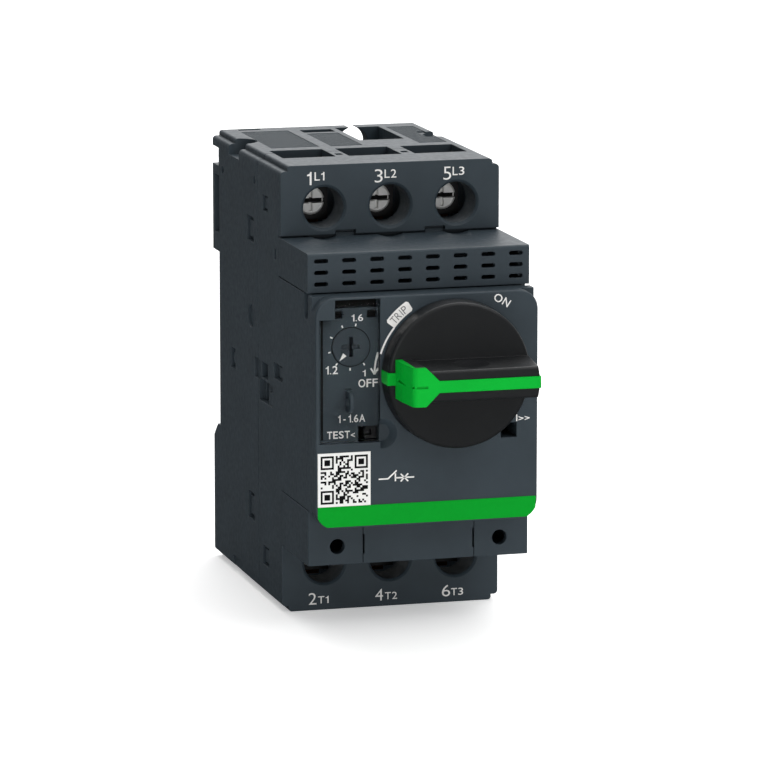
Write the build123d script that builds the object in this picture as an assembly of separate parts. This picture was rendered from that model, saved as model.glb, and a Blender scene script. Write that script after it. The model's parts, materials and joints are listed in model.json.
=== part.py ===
from build123d import *
import math
import os

# Three-pole motor protection breaker with a rotary handle, in millimetres.
# Frame: +X to the right, -Y out of the front, +Z up.
# The origin is the centre line of the mounting rail, on the rear plane.
# Sizes are given as x, depth (in front of the rear plane) and height (above the base).

# Driving dimensions
WIDTH = 44.5
HEIGHT = 89.0
RAIL_HEIGHT = 46.5          # rail centre line above the base
SEAM_DEPTH = 37.3           # rear housing meets front housing
TERMINAL_DEPTH = 55.6       # front face of both terminal blocks
FASCIA_DEPTH = 76.0         # front face of the vent cover and the lower fascia
COLLAR_DEPTH = 79.0         # front housing's front wall
PLATE_DEPTH = 82.0          # front face of the front plate
TOTAL_DEPTH = 97.0          # front of the knob bar
SHOULDER_WIDTH = 1.4        # side shoulders of the housings
SHOULDER_DROP = 1.1
WALL = 2.0
POLE_PITCH = 13.5
POLES = (-POLE_PITCH, 0.0, POLE_PITCH)
HALF = WIDTH / 2
INNER = HALF - WALL         # inside face of the side walls

# Mounting rail, 35 mm wide top-hat section
RAIL_RECESS_DEPTH = 5.3
RAIL_RECESS = (28.4, 64.6)
HOOK_DEPTH = (1.2, 4.0)

# Long screws that hold the two housings together
SCREW_X = 16.4
SCREW_HEIGHT = 17.2

# Terminals
UPPER_SCREW_HEIGHT = 80.5
LOWER_SCREW_HEIGHT = 9.5
SCREW_HOLE_RADIUS = 4.1
CHAMBER_DEPTH = (33.6, 48.1)
ENTRY_DEPTH = (33.6, 44.6)
CHAMBER_HALF = 5.4
THREAD_RADIUS = 2.0         # M4
HEAD_RADIUS = 2.8

# Front plate
PLATE_HEIGHT = (22.0, 67.0)
PLATE_CORNER = 3.8
PANEL_FLOOR = 80.0          # floor of the setting panel's recess
PANEL_X = (-21.5, -9.4)
PANEL_HEIGHT = (38.6, 66.6)
PANEL_STEP = (-18.4, 62.8)  # corner block beside the cover's hinge

# Vent cover
CLIP_X = 9.1
GUIDE_RISE = 5.5            # axis of the screwdriver guides above the cover's top
GUIDE_RADIUS = 6.1
GUIDE_TILT = 86.5           # degrees: they fade out towards the front

SIDE_SLOT_X_DEPTH = ((14.8, 18.0), (75.0, 83.0))
SIDE_SLOT_HEIGHT = (38.2, 41.1)

# Sealing lug on the panel's floor
LUG_X = (-15.9, -15.25)
LUG_HEIGHT = 46.7
LUG_RADIUS = 2.0
LUG_DEPTH = 82.2            # centre of its rounded end
LUG_EYE_RADIUS = 0.85

# Windows, tabs and dimples moulded into both side walls
SEAM_GROOVE = 0.15
SHALLOW = 0.5
DEEP = 1.0
THROUGH = WALL + 1
TAB_INSET = 0.35
REAR_WINDOWS = (            # depth, height, how deep
    ((29.0, 34.0), (70.7, 75.8), DEEP),
    ((29.0, 33.8), (14.0, 19.6), DEEP),
    ((14.9, 18.5), (42.3, 46.6), DEEP),
    ((34.6, SEAM_DEPTH + 1), (43.8, 47.8), SHALLOW),
    ((16.0, 22.0), (1.0, 3.4), SHALLOW),
    ((1.5, 5.5), (68.4, 80.3), DEEP),
)
REAR_TABS = (               # depth, height
    ((29.9, 34.05), (71.6, 74.9)),
    ((29.9, 33.85), (14.9, 18.7)),
)
REAR_DIMPLES = (            # depth, height, radius
    (31.65, 55.65, 2.35),
    (8.4, 81.9, 0.8),
    (34.8, 83.4, 0.8),
)
FRONT_WINDOWS = (
    ((41.4, 45.3), (78.4, 81.6), DEEP),
    ((40.6, 45.4), (6.7, 10.6), DEEP),
    ((SEAM_DEPTH - 1, 39.6), (43.8, 47.8), SHALLOW),
    ((40.2, 45.0), (44.7, 47.9), THROUGH),
    ((38.3, 48.7), (39.8, 44.3), DEEP),
    ((40.2, 42.0), (39.8, 44.3), THROUGH),
    ((50.0, 56.5), (46.2, 49.4), DEEP),
    ((50.6, 51.9), (70.0, 72.1), DEEP),
    ((73.3, 76.4), (63.45, 68.0), DEEP),
)
FRONT_TABS = (
    ((42.0, 45.35), (78.9, 81.1)),
    ((41.3, 45.0), (7.3, 10.0)),
    ((44.5, 48.75), (39.75, 42.6)),
    ((53.2, 56.0), (46.9, 49.0)),
)

# Handle
KNOB_X = 5.1
KNOB_HEIGHT = 51.63
KNOB_RADIUS = 14.2
KNOB_BACK = 82.4
KNOB_FACE = 86.6
BAR_HALF = 3.0
BAR_DRAFT = 0.35
HOOD_X = (-7.7, -4.5, -1.9)  # left face, shoulder, and where the strip begins
HOOD_HALF = 3.75
CAP_SIDE = 1.27             # thickness of the green cap at its left face
CAP_FRONT = 0.9             # and at its front face
HOLLOW_RADIUS = 9.0
HOLLOW_OFFSET = 8.4
STRIP_HALF = 1.15
SHAFT_RADIUS = 2.6

# Setting dial
DIAL_X = -14.75
DIAL_HEIGHT = 57.1
DIAL_RADIUS = 3.7
DIAL_FIT = 0.09             # radial gap seen around the dial

# Clear cover hinge
COVER_HINGE_DEPTH = 81.0
COVER_HINGE_HEIGHT = 65.3
COVER_PIN_RADIUS = 0.5
COVER_DEPTH = (80.4, 81.9)
HINGE_SLOT = (64.7, 66.5)   # dark slot behind the hinge
HINGE_SIDE_SLOT = (62.7, 64.1)
HINGE_SLOT_DEPTH = 77.0

# Handle gear and rack
GEAR_MODULE = 0.8
GEAR_TEETH = 12
GEAR_RADIUS = GEAR_MODULE * GEAR_TEETH / 2
GEAR_DEPTH = (58.0, 62.0)
RACK_TRAVEL = GEAR_RADIUS * math.pi / 2
CONTACT_TRAVEL = 3.0
WEDGE_SLOPE = CONTACT_TRAVEL / RACK_TRAVEL
WEDGE_DEPTH = 50.0          # wedge face where it meets the carrier at rest
WEDGE_HEIGHT = 57.0
FRAME_PIN_DEPTH = 66.0
FRAME_PIN_HEIGHTS = (60.0, 44.0)
FRAME_PIN_RADIUS = 1.0

# Contacts
BLADE_DEPTH = (23.3, 24.5)
FIXED_TIP_DEPTH = (18.0, 19.2)
LINE_TIP_HEIGHT = (64.6, 67.4)
LOAD_TIP_HEIGHT = (46.6, 49.4)
CROSSBAR_DEPTH = (27.0, 31.0)
CROSSBAR_HEIGHT = (54.0, 60.0)

# Trip unit
COIL_DEPTH = 26.0
COIL_HEIGHT = (20.0, 34.0)
PLUNGER_RADIUS = 2.3
TRIP_BAR_DEPTH = 41.0
TRIP_BAR_HEIGHT = 37.0
LATCH_DEPTH = 52.0
LATCH_HEIGHT = 44.0

FIT = 0.05                  # radial clearance of a running fit


def block(x, depth, height):
    """A box from its ranges of x, depth and height."""
    size = (x[1] - x[0], depth[1] - depth[0], height[1] - height[0])
    middle = ((x[0] + x[1]) / 2, -(depth[0] + depth[1]) / 2, (height[0] + height[1]) / 2 - RAIL_HEIGHT)
    return Pos(*middle) * Box(*size)


def span(middle, half):
    """The range that reaches half each way from the middle."""
    return (middle - half, middle + half)


def rod_y(x, height, radius, depth):
    """A cylinder that runs front to back."""
    middle = -(depth[0] + depth[1]) / 2
    return Pos(x, middle, height - RAIL_HEIGHT) * Rot(90, 0, 0) * Cylinder(radius, depth[1] - depth[0])


def rod_x(depth, height, radius, x):
    """A cylinder that runs left to right."""
    middle = (x[0] + x[1]) / 2
    return Pos(middle, -depth, height - RAIL_HEIGHT) * Rot(0, 90, 0) * Cylinder(radius, x[1] - x[0])


def rod_z(x, depth, radius, height):
    """A vertical cylinder."""
    middle = (height[0] + height[1]) / 2 - RAIL_HEIGHT
    return Pos(x, -depth, middle) * Cylinder(radius, height[1] - height[0])


def cone_y(x, height, back_radius, front_radius, depth):
    """A cone along the depth, from its back radius to its front radius."""
    middle = -(depth[0] + depth[1]) / 2
    shape = Cone(back_radius, front_radius, depth[1] - depth[0])
    return Pos(x, middle, height - RAIL_HEIGHT) * Rot(90, 0, 0) * shape


def side_outline(points, x):
    """A prism along x from points given as (depth, height)."""
    corners = [(-depth, height - RAIL_HEIGHT) for depth, height in points]
    face = Plane.YZ.offset(x[0]) * make_face(Polyline(*corners, close=True))
    return extrude(face, amount=x[1] - x[0])


def front_outline(points, depth):
    """A prism along the depth from points given as (x, height)."""
    corners = [(x, height - RAIL_HEIGHT) for x, height in points]
    face = Plane.XZ.offset(depth[0]) * make_face(Polyline(*corners, close=True))
    return extrude(face, amount=depth[1] - depth[0])


def edges_at(shape, axis, near):
    """Edges parallel to an axis whose centre is at one of the given places."""
    chosen = []
    for edge in shape.edges().filter_by(axis):
        middle = edge.center()
        for x, depth, height in near:
            fits_x = x is None or abs(middle.X - x) < 0.05
            fits_depth = depth is None or abs(middle.Y + depth) < 0.05
            fits_height = height is None or abs(middle.Z + RAIL_HEIGHT - height) < 0.05
            if fits_x and fits_depth and fits_height:
                chosen.append(edge)
                break
    return ShapeList(chosen)


def group(shapes):
    """Separate solids that share one node."""
    solids = [solid for shape in shapes for solid in shape.solids()]
    return Compound(children=solids)


def coil(x, depth, radius, wire, height, turns):
    """A compression spring along z, with a round wire."""
    path = Helix(pitch=(height[1] - height[0] - 2 * wire) / turns, height=height[1] - height[0] - 2 * wire,
                 radius=radius)
    section = Plane(origin=path @ 0, z_dir=path % 0) * Circle(wire)
    spring = sweep(section, path=path, is_frenet=True)
    return Pos(x, -depth, height[0] + wire - RAIL_HEIGHT) * spring


# Housings

def section(depth, inset):
    """The breaker's section with a lower shoulder along each side, drawn in by an inset."""
    crest = HALF - SHOULDER_WIDTH - inset
    rail = HALF - inset
    low = SHOULDER_DROP + inset
    body = block((-rail, rail), depth, (low, HEIGHT - low))
    return body + block((-crest, crest), depth, (inset, HEIGHT - inset))


def housing_body(depth):
    """The section with its long edges rounded."""
    body = section(depth, 0)
    inner = HALF - SHOULDER_WIDTH
    levels = (SHOULDER_DROP, HEIGHT - SHOULDER_DROP)
    rails = [(side, None, height) for side in (-HALF, HALF) for height in levels]
    crests = [(side, None, height) for side in (-inner, inner) for height in (0, HEIGHT)]
    body = fillet(edges_at(body, Axis.Y, rails), 0.8)
    return fillet(edges_at(body, Axis.Y, crests), 0.6)


def seam_groove(depth):
    """The thin groove around the outside where the housings meet."""
    around = block((-HALF - 1, HALF + 1), depth, (-1, HEIGHT + 1))
    return around - section(depth, SEAM_GROOVE)


def side_skin(side, deep):
    """The range of x from outside a side wall to a given depth into it."""
    return sorted((side * (HALF + 1), side * (HALF - deep)))


def mark_side(body, side, windows, tabs, dimples):
    """Cut the windows and dimples of one side wall, and stand its tabs in them."""
    for depth, height, deep in windows:
        body -= block(side_skin(side, deep), depth, height)
    for depth, height, radius in dimples:
        body -= rod_x(depth, height, radius, side_skin(side, SHALLOW))
    tab_x = sorted((side * (HALF - DEEP - 0.05), side * (HALF - TAB_INSET)))
    for depth, height in tabs:
        body += block(tab_x, depth, height)
    return body


def terminal_chambers(depth):
    """Wire chambers, wire entries and screw holes, over a range of depth."""
    cuts = []
    low, high = depth
    chamber = (max(low, CHAMBER_DEPTH[0]), min(high, CHAMBER_DEPTH[1]))
    entry = (max(low, ENTRY_DEPTH[0]), min(high, ENTRY_DEPTH[1]))
    for pole in POLES:
        across = span(pole, CHAMBER_HALF)
        cuts.append(block(across, chamber, (75.0, 87.2)))
        cuts.append(block(across, chamber, (1.8, 14.6)))
        cuts.append(block(across, entry, (87.0, HEIGHT + 1)))
        cuts.append(block(across, entry, (-1, 2.0)))
    return cuts


def make_rear_housing():
    body = housing_body((0, SEAM_DEPTH))
    body -= block((-INNER, INNER), (RAIL_RECESS_DEPTH + WALL, 31.6), (3.0, 73.6))
    body -= block((-INNER, INNER), (31.0, SEAM_DEPTH + 1), (17.5, 73.6))
    for cut in terminal_chambers((30, SEAM_DEPTH + 1)):
        body -= cut
    for pole in POLES:
        body -= block(span(pole, CHAMBER_HALF), (CHAMBER_DEPTH[0], SEAM_DEPTH + 1), (73.0, 76.0))
        body -= block(span(pole, 4.2), (CHAMBER_DEPTH[0], SEAM_DEPTH + 1), (14.0, 18.0))
        for height in (UPPER_SCREW_HEIGHT, LOWER_SCREW_HEIGHT):
            body -= rod_y(pole, height, THREAD_RADIUS + 0.4, (25.5, 34))
    # Ribs between the poles, cut away for the contact carrier
    for side in (-1, 1):
        rib = block(span(side * POLE_PITCH / 2, 0.75), (RAIL_RECESS_DEPTH + 1, 36.5), (16.5, 74))
        rib -= block((-HALF, HALF), (22.0, 38), (53.2, 60.8))
        rib -= block((-HALF, HALF), (38.8, 46), (30, 40))
        rib -= block((-HALF, HALF), (33.5, 38), (16, 19.2))
        body += rib
    # Rail recess, fixed hooks and the lower pad's lead-in
    body -= block((-HALF - 1, HALF + 1), (-1, RAIL_RECESS_DEPTH), RAIL_RECESS)
    for side in (-1, 1):
        body += block(span(side * 12.5, 4.5), HOOK_DEPTH, (62.8, 65.5))
    body -= side_outline([(-1, 25.6), (0, 25.6), (3.3, 28.4), (3.3, 29), (-1, 29)], (-HALF - 1, HALF + 1))
    # Channel of the rail clip, with the peg that its spring stands on
    body -= block((-7.6, 7.6), (0.8, 4.9), (-1, 29))
    body += block((-1.9, 1.9), (0.5, 5.4), (9.4, 11.0))
    # Side notches under the top lip, finger notches in the top, side windows
    for side in (-1, 1):
        outer = sorted((side * (HALF + 1), side * 17.5))
        body -= block(outer, (-1, 5.0), (82.3, 86.0))
        body -= rod_z(side * 21.6, 17.9, 4.2, (85.8, HEIGHT + 1))
        body = mark_side(body, side, REAR_WINDOWS, REAR_TABS, REAR_DIMPLES)
        # Bump in the window below the rail recess
        body += rod_x(16.9, 44.5, 1.1, sorted((side * (HALF - DEEP - 0.05), side * (HALF - TAB_INSET))))
    body -= seam_groove((SEAM_DEPTH - SEAM_GROOVE, SEAM_DEPTH + 1))
    # Open pocket and keyhole in the top rear edge
    body -= block((2.7, 12.0), (3.5, 23.0), (79.0, HEIGHT + 1))
    body -= rod_y(6.6, 85.9, 3.1, (-1, 4))
    body -= block((5.7, 7.5), (-1, 4), (85, HEIGHT + 1))
    # Shallow ribbed fields and slots in the top face
    body -= block((-17.5, -7.6), (5.0, 30.0), (HEIGHT - 0.3, HEIGHT + 1))
    body -= block((-5.2, 1.4), (10.8, 30.0), (HEIGHT - 0.3, HEIGHT + 1))
    body -= block((13.2, 19.0), (5.0, 30.0), (HEIGHT - 0.3, HEIGHT + 1))
    body -= block((-5.2, 1.4), (5.0, 9.0), (HEIGHT - 2.5, HEIGHT + 1))
    body -= block((-17.2, -12.6), (0.9, 2.3), (HEIGHT - 1.5, HEIGHT + 1))
    return body


def make_front_housing():
    body = housing_body((SEAM_DEPTH, TERMINAL_DEPTH))
    body += block((-HALF, HALF), (50, COLLAR_DEPTH), (24.7, 66.9))
    body -= block((-HALF - 1, HALF + 1), (53.9, TERMINAL_DEPTH + 1), (66.9, 75.2))
    body -= block((-INNER, INNER), (SEAM_DEPTH - 1, 52.0), (17.5, 72.5))
    body -= block((-INNER, INNER), (SEAM_DEPTH - 1, 76.0), (26.7, 64.9))
    for cut in terminal_chambers((SEAM_DEPTH - 1, 50)):
        body -= cut
    for pole in POLES:
        for height in (UPPER_SCREW_HEIGHT, LOWER_SCREW_HEIGHT):
            body -= rod_y(pole, height, SCREW_HOLE_RADIUS, (47, TERMINAL_DEPTH + 1))
            body -= cone_y(pole, height, SCREW_HOLE_RADIUS, SCREW_HOLE_RADIUS + 0.5,
                           (TERMINAL_DEPTH - 0.5, TERMINAL_DEPTH))
    for side in (-1, 1):
        # Notches under the upper terminal block, where the vent cover clips in
        body -= block(span(side * CLIP_X, 2.1), (54.2, TERMINAL_DEPTH + 1), (75.0, 76.0))
        body = mark_side(body, side, FRONT_WINDOWS, FRONT_TABS, ())
        # Rounded lower end of the groove beside the vent cover
        body -= rod_x(74.85, 63.45, 1.55, side_skin(side, DEEP))
        body -= rod_y(side * SCREW_X, SCREW_HEIGHT, 1.0, (36, 57))
    body -= seam_groove((SEAM_DEPTH - 1, SEAM_DEPTH + SEAM_GROOVE))
    # Slots between the wire entries in the top face
    for side in (-1, 1):
        body -= block(span(side * POLE_PITCH / 2, 0.7), (40.6, 42.6), (HEIGHT - 2, HEIGHT + 1))
    # Bores of the handle shaft, the dial and the test slider
    body -= rod_y(KNOB_X, KNOB_HEIGHT, SHAFT_RADIUS + FIT, (75, COLLAR_DEPTH + 1))
    body -= rod_y(DIAL_X, DIAL_HEIGHT, DIAL_RADIUS + 0.1, (77.4, COLLAR_DEPTH + 1))
    body -= rod_y(DIAL_X, DIAL_HEIGHT, 1.6 + FIT, (75, 78))
    body -= block((-14.2, -6.9), (75, COLLAR_DEPTH + 1), (38.4, 41.5))
    body -= block(*SIDE_SLOT_X_DEPTH, SIDE_SLOT_HEIGHT)
    for slot in hinge_slots():
        body -= slot
    return body


def make_vent_cover():
    height = (67.15, 74.8)
    cover = block((-HALF, HALF), (53.9, FASCIA_DEPTH), height)
    cover -= block((-20.6, 20.6), (53, 74.4), (68.3, 73.6))
    slot_width = 2.8
    slot_height = 0.85
    for column in range(8):
        x = -19.53 + 5.58 * column
        for row in range(3):
            level = 73.3 - 2.25 * row
            half_run = (slot_width - slot_height) / 2
            cover -= block(span(x, half_run), (74, FASCIA_DEPTH + 1), span(level, slot_height / 2))
            for end in (-1, 1):
                cover -= rod_y(x + end * half_run, level, slot_height / 2, (74, FASCIA_DEPTH + 1))
    # Shallow screwdriver guides in the top, one under each terminal screw
    for pole in POLES:
        place = Pos(pole, -54, height[1] + GUIDE_RISE - RAIL_HEIGHT) * Rot(GUIDE_TILT, 0, 0)
        guide = place * Cylinder(GUIDE_RADIUS, 40)
        cover -= guide & block(span(pole, 5), (53, 68), (height[0], height[1] + 1))
    edges = edges_at(cover, Axis.X, [(0, FASCIA_DEPTH, height[1])])
    cover = fillet(edges, 0.5)
    # Clips that hook into the upper terminal block
    for side in (-1, 1):
        cover += block(span(side * CLIP_X, 1.8), (54.3, 54.9), (74.4, 75.45))
    return cover


def make_lower_fascia():
    fascia = block((-HALF, HALF), (TERMINAL_DEPTH, FASCIA_DEPTH), (13.6, 24.5))
    fascia -= block((-INNER, INNER), (55, 74.2), (15.4, 22.8))
    fascia -= block((-11.3, 11.3), (60.0, FASCIA_DEPTH + 1), (13, 24.3))
    for side in (-1, 1):
        fascia -= rod_y(side * SCREW_X, SCREW_HEIGHT, 1.5, (73, FASCIA_DEPTH + 1))
    corners = [(side * HALF, FASCIA_DEPTH, None) for side in (-1, 1)]
    return fillet(edges_at(fascia, Axis.Z, corners), 0.4)


def make_accessory_cover():
    cover = block((-11.15, 11.15), (60.3, FASCIA_DEPTH), (13.6, 24.1))
    cover -= block((-9.6, 9.6), (59, 74.4), (15.0, 22.6))
    for side in (-1, 1):
        cover -= block(span(side * 11.15, 0.25), (74.6, FASCIA_DEPTH + 1), (15.5, 19.4))
    return cover


def hinge_slots():
    """The slot behind the cover's hinge, and the smaller one below it at each end."""
    depth = (HINGE_SLOT_DEPTH, PANEL_FLOOR + 1)
    slots = [block((-18.2, -9.6), depth, HINGE_SLOT)]
    slots.append(block((-18.2, -16.4), depth, HINGE_SIDE_SLOT))
    slots.append(block((-11.5, -9.6), depth, HINGE_SIDE_SLOT))
    return slots


def make_front_plate():
    low, high = PLATE_HEIGHT
    plate = block((-HALF, HALF), (COLLAR_DEPTH, PLATE_DEPTH), PLATE_HEIGHT)
    corners = [(side * HALF, None, height) for side in (-1, 1) for height in (low, high)]
    plate = fillet(edges_at(plate, Axis.Y, corners), PLATE_CORNER)
    rim = plate.faces().sort_by(Axis.Y)[0].edges()
    plate = fillet(rim, 0.35)
    # Recess of the setting panel, with the block beside the cover's hinge left standing
    step_x, step_height = PANEL_STEP
    recess = (PANEL_FLOOR, PLATE_DEPTH + 1)
    plate -= block(PANEL_X, recess, (PANEL_HEIGHT[0], step_height))
    plate -= block((step_x, PANEL_X[1]), recess, (step_height - 1, PANEL_HEIGHT[1]))
    plate -= rod_x(COVER_HINGE_DEPTH, COVER_HINGE_HEIGHT, COVER_PIN_RADIUS + FIT,
                   (step_x - 0.9, PANEL_X[1] + 0.7))
    for slot in hinge_slots():
        plate -= slot
    # Dial bore, test slot, rear slot beside the knob and the knob's well
    plate -= rod_y(DIAL_X, DIAL_HEIGHT, DIAL_RADIUS + DIAL_FIT, (78, PANEL_FLOOR + 1))
    plate -= block((-13.3, PANEL_X[1]), (78, PANEL_FLOOR + 1), (38.6, 41.5))
    plate -= block(*SIDE_SLOT_X_DEPTH, SIDE_SLOT_HEIGHT)
    plate -= rod_y(KNOB_X, KNOB_HEIGHT, 11.8, (78, PLATE_DEPTH + 1))
    # Dished finger scoop beside the cover's lower corner
    plate -= cone_y(-8.9, 40.2, 1.7, 2.9, (80.4, PLATE_DEPTH)) & block((-9.4, 0), (80, 83), (30, 50))
    lug = block(LUG_X, (PANEL_FLOOR - 0.1, LUG_DEPTH), span(LUG_HEIGHT, LUG_RADIUS))
    lug += rod_x(LUG_DEPTH, LUG_HEIGHT, LUG_RADIUS, LUG_X)
    for depth in (LUG_DEPTH - 0.7, LUG_DEPTH - 0.1):
        lug -= rod_x(depth, LUG_HEIGHT, LUG_EYE_RADIUS, (LUG_X[0] - 1, LUG_X[1] + 1))
    return plate + lug


def make_clear_cover():
    """Flat clear flap with a narrow neck, a hinge rod and an opening for the sealing lug."""
    hinge = COVER_HINGE_HEIGHT
    cover = block((-21.3, -9.6), COVER_DEPTH, (38.9, 62.55))
    cover += block((-16.4, -11.3), COVER_DEPTH, (62, hinge - 0.2))
    cover += block((-18.1, -9.7), (80.75, 81.6), (hinge - 1.6, hinge))
    cover += rod_x(COVER_HINGE_DEPTH, hinge, COVER_PIN_RADIUS + 0.05, (-18.1, -9.7))
    cover += rod_x(COVER_HINGE_DEPTH, hinge, COVER_PIN_RADIUS, (PANEL_STEP[0] - 0.6, PANEL_X[1] + 0.4))
    cover -= block((LUG_X[0] - 0.35, LUG_X[1] + 0.35), (80, 83), span(LUG_HEIGHT, LUG_RADIUS + 0.4))
    return cover


def make_colour_band():
    low = PLATE_HEIGHT[0]
    band = block((-HALF, HALF), (PLATE_DEPTH, PLATE_DEPTH + 0.12), (low, 26.35))
    corners = [(side * HALF, None, low) for side in (-1, 1)]
    band = fillet(edges_at(band, Axis.Y, corners), PLATE_CORNER)
    return band & block((-HALF + 0.35, HALF - 0.35), (PLATE_DEPTH - 1, PLATE_DEPTH + 1), (low + 0.35, 30))


def make_code_label():
    return block((-21.9, -11.4), (PLATE_DEPTH, PLATE_DEPTH + 0.12), (26.4, 36.9))


# Handle

def hood_body():
    """The block at the left end of the bar, with its arrow-shaped shoulders."""
    low, high = span(KNOB_HEIGHT, HOOD_HALF)
    strip_low, strip_high = span(KNOB_HEIGHT, STRIP_HALF)
    left, shoulder, tail = HOOD_X
    hood = front_outline([(left, low), (shoulder, low), (tail, strip_low), (tail, strip_high),
                          (shoulder, high), (left, high)], (KNOB_FACE, TOTAL_DEPTH))
    hood -= side_cut_of_hood()
    fold = [edge for edge in hood.edges().filter_by(Axis.Z) if edge.center().Y < -TOTAL_DEPTH + 0.1]
    fold = sorted(fold, key=lambda edge: edge.center().X)[:1]
    return fillet(ShapeList(fold), 1.2)


def inside_cap():
    """The room behind the green cap's left and front walls."""
    left, _, tail = HOOD_X
    depth = (KNOB_FACE - 1, TOTAL_DEPTH - CAP_FRONT)
    return block((left + CAP_SIDE, tail + 1), depth, span(KNOB_HEIGHT, 5))


def make_pointer():
    """A green cap over the left end of the bar, with the strip along the bar and the tab at the rim."""
    left, shoulder, tail = HOOD_X
    cap = hood_body() - inside_cap()
    # Thumb line across the cap's front and left faces
    line = block((left - 1, shoulder + 0.3), (KNOB_FACE + 1.5, TOTAL_DEPTH + 1), span(KNOB_HEIGHT, 0.2))
    core = block((left + 1.0, shoulder + 1), (KNOB_FACE, TOTAL_DEPTH - 0.3), span(KNOB_HEIGHT, 1))
    core += block((left + 0.35, shoulder + 1), (KNOB_FACE, TOTAL_DEPTH - 1.3), span(KNOB_HEIGHT, 1))
    cap -= line - core
    strip = block((tail - 0.6, KNOB_X + 13.03), (95.0, TOTAL_DEPTH), span(KNOB_HEIGHT, STRIP_HALF))
    tip = block((KNOB_X + 11.2, KNOB_X + 14.3), (90.5, TOTAL_DEPTH - 0.1), span(KNOB_HEIGHT, STRIP_HALF))
    tip &= cone_y(KNOB_X, KNOB_HEIGHT, KNOB_RADIUS + 0.12, 13.2, (KNOB_FACE, TOTAL_DEPTH))
    tab = block((-9.35, left + 0.5), (KNOB_BACK + 0.2, KNOB_FACE + 0.3), span(KNOB_HEIGHT, 1.2))
    return cap + strip + tip + tab


def side_cut_of_hood():
    """The hood's left face leans in towards the front."""
    low = KNOB_HEIGHT - 5 - RAIL_HEIGHT
    left = HOOD_X[0]
    front = -TOTAL_DEPTH - 0.1
    profile = Polyline((left - 1.3, 0.5 - KNOB_FACE), (left, -KNOB_FACE), (left + 0.15, -91),
                       (left + 0.8, front), (left - 1.3, front), close=True)
    return extrude(Plane.XY.offset(low) * make_face(profile), amount=10)


def bar_profile():
    """Section of the handle's bar: flanks that lean in slightly towards the front."""
    middle = KNOB_HEIGHT - RAIL_HEIGHT
    back = -KNOB_FACE + 0.5
    front = -TOTAL_DEPTH + 0.15
    foot = BAR_HALF + BAR_DRAFT
    return make_face(Polyline((back, middle - foot), (front, middle - BAR_HALF), (front, middle + BAR_HALF),
                              (back, middle + foot), close=True))


def make_knob():
    disc = cone_y(KNOB_X, KNOB_HEIGHT, KNOB_RADIUS + 0.15, KNOB_RADIUS, (KNOB_BACK, KNOB_FACE))
    disc = fillet(disc.edges().sort_by(Axis.Y)[0], 0.6)
    bar = extrude(Plane.YZ.offset(-5.8) * bar_profile(), amount=26)
    bar &= cone_y(KNOB_X, KNOB_HEIGHT, KNOB_RADIUS + 0.05, 13.0, (KNOB_FACE - 0.6, TOTAL_DEPTH))
    front_edges = [edge for edge in bar.edges() if edge.center().Y < -TOTAL_DEPTH + 0.2]
    bar = fillet(ShapeList(front_edges), 0.5)
    # Thumb hollows in the bar's flanks
    for side in (-1, 1):
        level = KNOB_HEIGHT + side * (BAR_HALF + HOLLOW_OFFSET) - RAIL_HEIGHT
        hollow = Pos(KNOB_X + 0.7, -91.8, level) * Sphere(HOLLOW_RADIUS)
        bar -= hollow & block((-10, 20), (KNOB_FACE + 0.2, TOTAL_DEPTH), (30, 70))
    hood = hood_body()
    bar = bar - hood + (hood & inside_cap())
    hub = rod_y(KNOB_X, KNOB_HEIGHT, 11.5, (COLLAR_DEPTH + 0.3, KNOB_BACK + 0.5))
    knob = disc + bar + hub
    knob -= rod_y(KNOB_X, KNOB_HEIGHT, SHAFT_RADIUS, (70, 88.0))
    return knob - make_pointer()


def make_drive_shaft():
    return rod_y(KNOB_X, KNOB_HEIGHT, SHAFT_RADIUS, (50.5, 88.0))


def make_shaft_clip():
    ring = rod_y(KNOB_X, KNOB_HEIGHT, 4.3, (74.6, 75.6))
    ring -= rod_y(KNOB_X, KNOB_HEIGHT, SHAFT_RADIUS, (74, 76))
    return ring - block(span(KNOB_X, 1.2), (74, 76), (KNOB_HEIGHT, KNOB_HEIGHT + 6))


def involute_flank(radius_base, radius_tip, steps):
    """Points of an involute from the base circle to the tip circle, as (radius, angle)."""
    points = []
    last = math.sqrt((radius_tip / radius_base) ** 2 - 1)
    for step in range(steps + 1):
        roll = last * step / steps
        radius = radius_base * math.sqrt(1 + roll * roll)
        points.append((radius, roll - math.atan(roll)))
    return points


def make_drive_pinion():
    pressure = math.radians(20)
    backlash = 0.12
    base = GEAR_RADIUS * math.cos(pressure)
    tip = GEAR_RADIUS + GEAR_MODULE * 0.95
    root = GEAR_RADIUS - GEAR_MODULE * 1.2
    half_tooth = math.pi / (2 * GEAR_TEETH) - backlash / GEAR_RADIUS
    at_pitch = math.tan(pressure) - pressure
    flank = involute_flank(base, tip, 5)
    outline = []
    for tooth in range(GEAR_TEETH):
        middle = 2 * math.pi * tooth / GEAR_TEETH
        start = middle - half_tooth - at_pitch
        end = middle + half_tooth + at_pitch
        outline.append((root, start))
        outline.extend((radius, start + angle) for radius, angle in flank)
        outline.extend((radius, end - angle) for radius, angle in reversed(flank))
        outline.append((root, end))
    points = []
    for radius, angle in outline:
        points.append((KNOB_X + radius * math.cos(angle), KNOB_HEIGHT + radius * math.sin(angle)))
    gear = front_outline(points, GEAR_DEPTH)
    return gear - rod_y(KNOB_X, KNOB_HEIGHT, SHAFT_RADIUS, (50, 70))


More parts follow.
